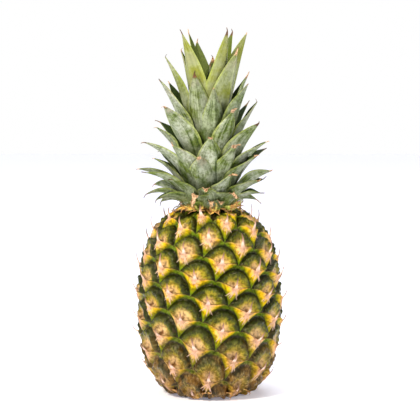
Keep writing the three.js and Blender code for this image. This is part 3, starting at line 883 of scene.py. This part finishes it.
def spine_material():
    """Dry spine: papery fibre, cream and pinkish at the root, brown at the very point, dark between its
    fibres, partly as painted shade.
    """
    made, tree, shader = material("dry_spine")
    facts = node(tree, "Attribute", attribute_name="spine_place").outputs["Vector"]
    t, across, luck = node(tree, "SeparateXYZ", facts).outputs
    where = node(tree, "CombineXYZ", across, t, luck)
    along = node(tree, "VectorMath", where, (3, 1.2, 40), operation="MULTIPLY")
    strands = node(tree, "TexNoise", along, 1.5, 4, 0.55)
    uneven = node(tree, "Math", strands, 0.5, -0.25, operation="MULTIPLY_ADD")
    colour = graded(node(tree, "ValToRGB", node(tree, "Math", t, uneven)), [
        (0.0, "#c08f6c"), (0.18, "#e0b598"), (0.36, "#efd5c5"),
        (0.56, "#bd8f76"), (0.78, "#86604c"), (1.0, "#4d3428"),
    ])
    # Dark brown between the spine's fibres: partly the fibres' own streaks, partly painted shade in the
    # clefts between them.
    strand_marks_and_shade = node(tree, "MapRange", strands, 0.56, 0.685, 0, 1)
    colour = node(tree, "Mix", strand_marks_and_shade, colour, "#7a5647", data_type="RGBA")
    surface(tree, shader, colour, strands, 0.5, 0.4)
    feed(tree, shader.inputs["Roughness"], 0.7)
    return made


def leaf_facts(tree):
    """What the leaf's patterns are made of: the place on the blade, its age and luck, and noise on them."""
    place = node(tree, "TexCoord").outputs["Object"]
    on_blade = node(tree, "Attribute", attribute_name="leaf_place").outputs["Vector"]
    form = node(tree, "Attribute", attribute_name="leaf_form").outputs["Vector"]
    t, across, luck = node(tree, "SeparateXYZ", on_blade).outputs
    face, age, tone = node(tree, "SeparateXYZ", form).outputs
    blade = node(tree, "CombineXYZ", across, t, luck)
    streaked = node(tree, "VectorMath", blade, (5, 1.1, 60), operation="MULTIPLY")
    veined = node(tree, "VectorMath", blade, (26, 1.5, 60), operation="MULTIPLY")
    return SimpleNamespace(
        place=place, t=t, across=across, luck=luck, face=face, age=age, tone=tone,
        streaks=node(tree, "TexNoise", streaked, 1.6, 5, 0.6),
        veins=node(tree, "TexNoise", veined, 1.2, 2, 0.55),
        patches=node(tree, "TexNoise", place, cells(13.3), 4, 0.6),
        young=node(tree, "MapRange", age, 0.72, 0.97, 0, 1),
    )


def outer_face_colour(tree, leaf_at):
    """Outer face: green under a pale waxy bloom, lime at its rims, with painted shade at its base on all but
    the lowest leaves, brown to its end.
    """
    green = node(tree, "MapRange", leaf_at.streaks, 0.3, 0.7, 0, 1)
    green = node(tree, "Mix", green, "#34490e", "#869a36", data_type="RGBA")
    fresh = node(tree, "Mix", leaf_at.streaks, "#6a7718", "#aaa846", data_type="RGBA")
    green = node(tree, "Mix", leaf_at.young, green, fresh, data_type="RGBA")
    bloom = node(tree, "Math", leaf_at.streaks, 0.5, leaf_at.patches, operation="MULTIPLY_ADD")
    bloom = node(tree, "MapRange", bloom, 0.6, 0.85, 0, 1)
    bloom_left = node(tree, "MapRange", leaf_at.young, 0, 1, 1, 0.4)
    bloom = node(tree, "Math", bloom, bloom_left, operation="MULTIPLY")
    colour = node(tree, "Mix", bloom, green, "#b5bcaa", data_type="RGBA")
    rim = node(tree, "Math", leaf_at.across, operation="ABSOLUTE")
    rim = node(tree, "MapRange", rim, 0.8, 0.967, 0, 0.65)
    colour = node(tree, "Mix", rim, colour, "#b4c060", data_type="RGBA")
    # Towards the blade's base: pale yellow-green on the lowest leaves, and dark green as painted shade on the
    # higher ones.
    higher = node(tree, "MapRange", leaf_at.age, 0, 0.22, 0, 1)
    base = node(tree, "Mix", higher, "#b8c26c", "#2f4018", data_type="RGBA")
    base_tone_and_shade = node(tree, "MapRange", leaf_at.t, -0.0148, 0.42, 1, 0)
    colour = node(tree, "Mix", base_tone_and_shade, colour, base, data_type="RGBA")
    tinge = node(tree, "Math", leaf_at.t, 0.5, leaf_at.patches, operation="MULTIPLY_ADD")
    tinge = node(tree, "MapRange", tinge, 0.92, 1.12, 0, 1)
    tinge_left = node(tree, "MapRange", leaf_at.young, 0, 1, 0.6, 0.3)
    tinge = node(tree, "Math", tinge, tinge_left, operation="MULTIPLY")
    colour = node(tree, "Mix", tinge, colour, "#84694c", data_type="RGBA")
    own_tone = node(tree, "ValToRGB", leaf_at.tone)
    graded(own_tone, [(0.0, "#c8d0b4"), (0.5, "#ffffff"), (1.0, "#e0e4d4")])
    return node(tree, "Mix", 1, colour, own_tone, data_type="RGBA", blend_type="MULTIPLY")


def dry_end(tree, leaf_at, colour):
    """Turns the leaf's last few millimetres dry, in straw or dark brown with specks."""
    early = node(tree, "Math", leaf_at.tone, leaf_at.tone, operation="MULTIPLY")
    start = node(tree, "MapRange", early, 0, 1, 0.985, 0.905)
    ragged_t = node(tree, "Math", leaf_at.patches, 0.06, leaf_at.t, operation="MULTIPLY_ADD")
    dry = node(tree, "Math", ragged_t, start, operation="SUBTRACT")
    dry = node(tree, "MapRange", dry, 0.03, 0.055, 0, 1)
    dark = node(tree, "Math", leaf_at.luck, 0.45, operation="GREATER_THAN")
    dead = node(tree, "Mix", dark, "#d4b08c", "#54402c", data_type="RGBA")
    specks = node(tree, "TexNoise", leaf_at.place, cells(1.667), 3, 0.55)
    specks = node(tree, "MapRange", specks, 0.45, 0.617, 0, 1)
    dead = node(tree, "Mix", specks, dead, "#80522c", data_type="RGBA")
    return node(tree, "Mix", dry, colour, dead, data_type="RGBA")


def leaf_material():
    """Crown leaf: satin blade with a bloom outside, darker and plainer inside, partly as painted shade, with
    a dry tip.
    """
    made, tree, shader = material("crown_leaf")
    leaf_at = leaf_facts(tree)
    # Inner face: its own dark green, darkened further as painted shade, and lighter on young leaves.
    inner_face_and_shade = node(tree, "Mix", leaf_at.streaks, "#1a280c", "#3a4d1a", data_type="RGBA")
    lighter = node(tree, "Math", leaf_at.young, 0.35, operation="MULTIPLY")
    inner_face_and_shade = node(tree, "Mix", lighter, inner_face_and_shade, "#8a9a38", data_type="RGBA")
    outside = node(tree, "MapRange", leaf_at.face, -1, 1, 0, 1)
    colour = node(tree, "Mix", outside, inner_face_and_shade, outer_face_colour(tree, leaf_at), data_type="RGBA")
    vein = node(tree, "MapRange", leaf_at.veins, 0.5, 1, 0, 0.45)
    colour = node(tree, "Mix", vein, colour, "#465a26", data_type="RGBA")
    colour = dry_end(tree, leaf_at, colour)
    mottle = node(tree, "TexNoise", leaf_at.place, cells(2.38), 4, 0.65)
    speckle = graded(node(tree, "ValToRGB", mottle), [(0.36, "#8f8f6c"), (0.56, "#ffffff")])
    speckled = node(tree, "MapRange", leaf_at.young, 0, 1, 0.7, 0.25)
    colour = node(tree, "Mix", speckled, colour, speckle, data_type="RGBA", blend_type="MULTIPLY")
    relief = node(tree, "Math", mottle, 0.7, leaf_at.veins, operation="MULTIPLY_ADD")
    surface(tree, shader, colour, relief, 0.35, 0.4)
    feed(tree, shader.inputs["Roughness"], 0.5)
    feed(tree, shader.inputs["Specular IOR Level"], 0.22)
    return made


def bract_material():
    """Dry neck bract: papery, brown over straw to yellow-green, tan in its fibres, darker at the point."""
    made, tree, shader = material("dry_bract")
    facts = node(tree, "Attribute", attribute_name="leaf_place").outputs["Vector"]
    t, across, luck = node(tree, "SeparateXYZ", facts).outputs
    where = node(tree, "CombineXYZ", across, t, luck)
    along = node(tree, "VectorMath", where, (4, 1.5, 50), operation="MULTIPLY")
    strands = node(tree, "TexNoise", along, 1.6, 4, 0.55)
    tone = graded(node(tree, "ValToRGB", luck), [
        (0.0, "#bc8c50"), (0.2, "#ecb664"), (0.4, "#fcd870"), (0.65, "#d8da68"), (1.0, "#a8c650"),
    ])
    tan = node(tree, "MapRange", strands, 0.5, 0.833, 0, 1)
    colour = node(tree, "Mix", tan, tone, "#eabc84", data_type="RGBA")
    point = node(tree, "MapRange", t, 0.8, 1.05, 0, 1)
    colour = node(tree, "Mix", point, colour, "#a87844", data_type="RGBA")
    surface(tree, shader, colour, strands, 0.6, 0.5)
    feed(tree, shader.inputs["Roughness"], 0.75)
    return made


def stem_material():
    """Leaf-base tissue deep in the crown: dark green as painted shade, so the stem between the leaves looks
    shadowed.
    """
    made, tree, shader = material("stem_shade_tissue")
    patches = node(tree, "TexNoise", node(tree, "TexCoord").outputs["Object"], cells(8.33), 3, 0.55)
    # Painted shade: near-black to dark green patches.
    colour = node(tree, "Mix", patches, "#16200a", "#38481c", data_type="RGBA")
    feed(tree, shader.inputs["Base Color"], colour)
    feed(tree, shader.inputs["Roughness"], 0.8)
    return made


def floor_material():
    """Matt white studio sweep, which glows a little so that it stays white far off."""
    made, tree, shader = material("white_sweep")
    feed(tree, shader.inputs["Base Color"], "#f3f5ff")
    feed(tree, shader.inputs["Roughness"], 0.9)
    feed(tree, shader.inputs["Emission Color"], "#e9e9ff")
    feed(tree, shader.inputs["Emission Strength"], 0.24)
    return made


# Assembly


def finish_piece(piece, made, node_name, angle):
    only(piece)
    bpy.ops.object.shade_smooth_by_angle(angle=angle * DEGREE)
    piece.data.materials.clear()
    piece.data.materials.append(made)
    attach(piece, "root")
    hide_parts(node_name)


finish_piece(fruit_rind(), rind_material(), "fruit", 60)
finish_piece(fruit_spines(), spine_material(), "fruit", 60)
dry_bract = bract_material()
finish_piece(foot_scraps(), dry_bract, "fruit", 50)
finish_piece(neck_scales(), dry_bract, "neck_bracts", 50)
finish_piece(crown_leaves(), leaf_material(), "crown", 50)
finish_piece(crown_stem(), stem_material(), "crown", 50)


# Studio


def studio():
    deselect()
    bpy.ops.mesh.primitive_plane_add(size=6, location=(0, 0, 0))
    floor = bpy.context.object
    floor.name = "floor"
    for vertex in floor.data.vertices:
        vertex.co.z = -0.0003
    floor.data.materials.append(floor_material())
    world = bpy.data.worlds.new("studio")
    world.use_nodes = True
    tree = world.node_tree
    rise = node(tree, "SeparateXYZ", node(tree, "TexCoord").outputs["Generated"]).outputs["Z"]
    sky = graded(node(tree, "ValToRGB", rise), [(0.05, "#ffffff"), (0.2, "#66666a")])
    feed(tree, tree.nodes["Background"].inputs["Color"], sky)
    bpy.context.scene.world = world
    add_light("key", (-0.8, -1.0, 1.2), 0.3, 34, "#fff6e4")
    add_light("fill", (1.1, -0.7, 0.8), 0.4, 8, "#fffaf0")
    add_light("back", (0.2, 1.0, 1.4), 1.0, 5, "#ffffff")
    overhead = bpy.data.lights.new("overhead", "SUN")
    overhead.energy = 2.2
    overhead.angle = 60 * DEGREE
    lamp = bpy.data.objects.new("overhead", overhead)
    lamp.rotation_euler = (-10 * DEGREE, 0, 0)
    bpy.context.collection.objects.link(lamp)


def aim(obj, target):
    way = np.array(target) - np.array(obj.location)
    flat = math.hypot(way[0], way[1])
    obj.rotation_euler = (math.atan2(flat, -way[2]), 0, math.atan2(-way[0], way[1]))


def add_light(name, place, size, watts, tint):
    data = bpy.data.lights.new(name, "AREA")
    data.shape = "DISK"
    data.size = size
    data.energy = watts
    data.color = linear(tint)[:3]
    lamp = bpy.data.objects.new(name, data)
    lamp.location = place
    bpy.context.collection.objects.link(lamp)
    aim(lamp, (0, 0, 0.15))


def camera():
    """Nearly level view of the front from 1.4 m; the frame takes in 367 mm at the object."""
    distance, elevation = 1.4, 6 * DEGREE
    target = (0.0004, 0, 0.1605)
    data = bpy.data.cameras.new("camera")
    data.sensor_width = 36
    data.lens = 36 * distance / 0.367
    eye = bpy.data.objects.new("camera", data)
    eye.location = (target[0], -distance * math.cos(elevation), target[2] + distance * math.sin(elevation))
    bpy.context.collection.objects.link(eye)
    aim(eye, target)
    bpy.context.scene.camera = eye
    bpy.context.scene.view_settings.view_transform = "Standard"


studio()
camera()
